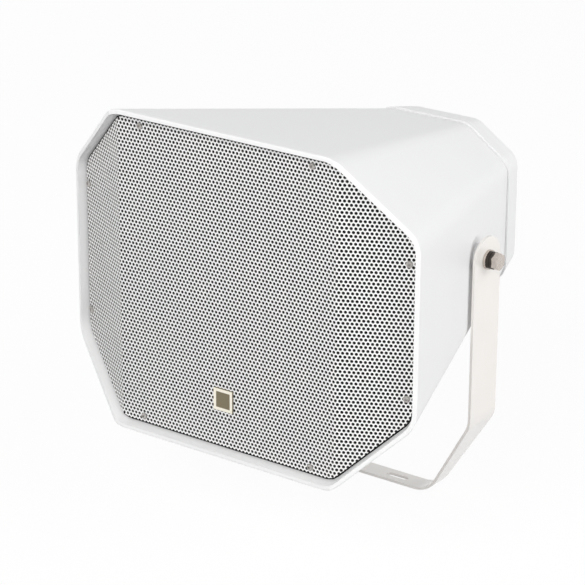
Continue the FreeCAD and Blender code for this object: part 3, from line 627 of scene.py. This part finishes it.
def buildPlate():
    seat = sheetPoint(plate["run"], plate["z"])
    half = plate["size"] / 2
    top = plate["thickness"]
    bevel = plate["bevel"]
    inner = half - plate["border"]
    steps = [(half, 0.0), (half, top - bevel), (half - bevel, top), (inner, top),
             (inner - plate["sunk"], top - plate["sunk"])]
    vertices = []
    for size, out in steps:
        radius = max(plate["round"] - (half - size), plate["leastRound"])
        vertices += roundedSquare(size, radius, out, seat)
    count = len(vertices) // len(steps)
    faces = [list(range(count))[::-1], list(range(len(vertices) - count, len(vertices)))]
    for ring in range(len(steps) - 1):
        for step in range(count):
            following = (step + 1) % count
            low = ring * count
            faces.append([low + step, low + following, low + count + following, low + count + step])
    piece = addPiece("barePlate", vertices, faces, "speaker", "insert_brass")
    piece.data.materials[0] = plateFinish()
    shadeSmooth(piece, plate["smooth"])


def plateFinish():  # pale lacquered edge around an olive field
    material, s, place = startFinish("plateFinish")
    seat = sheetPoint(plate["run"], plate["z"])
    depth = s.node("SeparateXYZ", {}, {0: place}, "Y")
    field = depth > seat.y - plate["thickness"] + plate["sunk"] * 0.5
    lines = noise(s, stretched(s, place, plate["lines"]), 1.0, detail=3.0)
    colour = mixColour(s, field, mixColour(s, lines, *plate["edge"]), mixColour(s, lines, *plate["field"]))
    rough = plate["rough"] + (lines - 0.5) * plate["uneven"]
    metallic = plate["edgeMetal"] + field * (plate["fieldMetal"] - plate["edgeMetal"])
    normal = bumped(s, lines, plate["depth"])
    finishWith(s, {"Base Color": colour, "Roughness": rough, "Metallic": metallic, "Normal": normal})
    return material


buildPlate()
print("plate built")

# the driver's two flexible rings, in sectors
# on the driver the frame holds their outer edge and the cone carries the inner one; here those two radii are
# only worked out and printed
flexRings = {
    "spider": dict(node="driver_spider", slot="spider_cloth", sectors=4, rim=4 * mm, collar=1.5 * mm),
    "surround": dict(node="driver_surround", slot="surround_rubber", sectors=8, rim=2 * mm, collar=1 * mm),
}


# the solid ring between two planes through its axis, with its ends closed
def ringSector(source, centre, middle, half):
    part = bmesh.new()
    part.from_mesh(source)
    bmesh.ops.remove_doubles(part, verts=part.verts[:], dist=weldGap)
    for side in (-1, 1):
        angle = middle + side * half
        outward = Vector((-math.sin(angle), 0.0, math.cos(angle))) * side
        whole = part.verts[:] + part.edges[:] + part.faces[:]
        cut = bmesh.ops.bisect_plane(part, geom=whole, dist=cutSlack, plane_co=centre, plane_no=outward,
                                     clear_outer=True)
        ends = [item for item in cut["geom_cut"] if isinstance(item, bmesh.types.BMEdge)]
        bmesh.ops.edgeloop_fill(part, edges=ends)
    return part


def buildFlexRing(name, look):
    source = nodes[look["node"]].data
    low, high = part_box(look["node"])
    centre = (low + high) / 2
    half = math.pi / look["sectors"]
    radii = [math.hypot(vertex.co.x - centre.x, vertex.co.z - centre.z) for vertex in source.vertices]
    held = (max(radii) - look["rim"]) * math.cos(half)
    carried = min(radii) + look["collar"]
    for sector in range(look["sectors"]):
        middle = 2 * half * sector
        part = ringSector(source, centre, middle, half)
        mesh = bpy.data.meshes.new(f"{name}Sector{sector + 1}")
        part.to_mesh(mesh)
        part.free()
        mesh.materials.clear()
        mesh.materials.append(finishes[look["slot"]])
        piece = linkMesh(mesh)
        along = Vector((math.cos(middle), 0.0, math.sin(middle)))
        centre + along * held
        centre + along * carried
        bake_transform(piece)
        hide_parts(look["node"])
    print(name, "held at", round(held / mm, 1), "mm, carried at", round(carried / mm, 1), "mm")


for ringName, ringLook in flexRings.items():
    buildFlexRing(ringName, ringLook)
print("flexible rings built")

# floor, background and lamps
studio = dict(floorSize=14.0, floorTone=tone(176, 176, 176), shadow=0.08, horizon=0.85, overhead=0.1,
              ambientColour=(0.975, 0.99, 1.0, 1.0), aim=(0.0, -0.03, 0.17),
              white=(1.0, 1.0, 1.0, 1.0))
lamps = {
    "keyLamp": dict(place=(0.10, -2.14, 1.70), size=1.3, power=24.0, colour=(1.0, 0.985, 0.965)),
    "fillLamp": dict(place=(1.30, -2.12, 1.02), size=1.1, power=19.0, colour=(1.0, 0.99, 0.98)),
    "sideLamp": dict(place=(2.36, 0.58, 1.08), size=2.0, power=30.0, colour=(1.0, 0.99, 0.98)),
    "leftLamp": dict(place=(-2.3, 1.0, 0.5), size=0.9, power=8.0, colour=(1.0, 1.0, 1.0)),
}


def backgroundMask(s):  # what the eye, metal and glass see
    kinds = ("Is Camera Ray", "Is Glossy Ray", "Is Transmission Ray")
    camera, glossy, through = [s.node("LightPath", {}, {}, kind) for kind in kinds]
    return s.maths("MAXIMUM", s.maths("MAXIMUM", camera, glossy), through)


def buildFloor():
    half = studio["floorSize"] / 2
    corners = [(-half, -half, 0.0), (half, -half, 0.0), (half, half, 0.0), (-half, half, 0.0)]
    floor = meshObject("floor", corners, [(0, 1, 2, 3)])
    material, s, _ = startFinish("paleFloor")
    bounce = s.node("BsdfDiffuse", {}, {"Color": studio["floorTone"]})
    paper = s.node("BsdfDiffuse", {}, {"Color": studio["white"]})
    glow = s.node("Emission", {}, {"Color": studio["white"], "Strength": 1.0})
    # white to the eye, with a faint shadow
    seen = s.node("MixShader", {}, {0: 1 - studio["shadow"], 1: paper, 2: glow})
    lit = s.node("MixShader", {}, {0: backgroundMask(s), 1: bounce, 2: seen})
    s.node("OutputMaterial", {}, {"Surface": lit})
    floor.data.materials.append(material)


def buildWorld():
    world = bpy.data.worlds.new("studio")
    world.use_nodes = True
    world.node_tree.nodes.clear()
    s = Socket(world.node_tree)
    seen = s.node("Background", {}, {"Color": studio["white"], "Strength": 1.0})
    around = s.node("Background", {}, {"Color": studio["ambientColour"], "Strength": studio["horizon"]})
    above = s.node("Background", {}, {"Color": studio["ambientColour"], "Strength": studio["overhead"]})
    height = s.node("SeparateXYZ", {}, {0: s.node("TexCoord", {}, {}, "Generated")}, "Z")
    # walls brighter than the ceiling
    fill = s.node("MixShader", {}, {0: height * height, 1: around, 2: above})
    both = s.node("MixShader", {}, {0: backgroundMask(s), 1: fill, 2: seen})
    s.node("OutputWorld", {}, {"Surface": both})
    scene.world = world


def addLamps():
    aim = Vector(studio["aim"])
    for name, look in lamps.items():
        lamp = bpy.data.lights.new(name, "AREA")
        lamp.size = look["size"]
        lamp.energy = look["power"]
        lamp.color = look["colour"]
        holder = bpy.data.objects.new(name, lamp)
        holder.visible_camera = False
        holder.visible_glossy = False
        holder.location = look["place"]
        holder.rotation_euler = (Vector(look["place"]) - aim).to_track_quat("Z", "Y").to_euler()
        scene.collection.objects.link(holder)


buildFloor()
buildWorld()
addLamps()
print("studio lit")
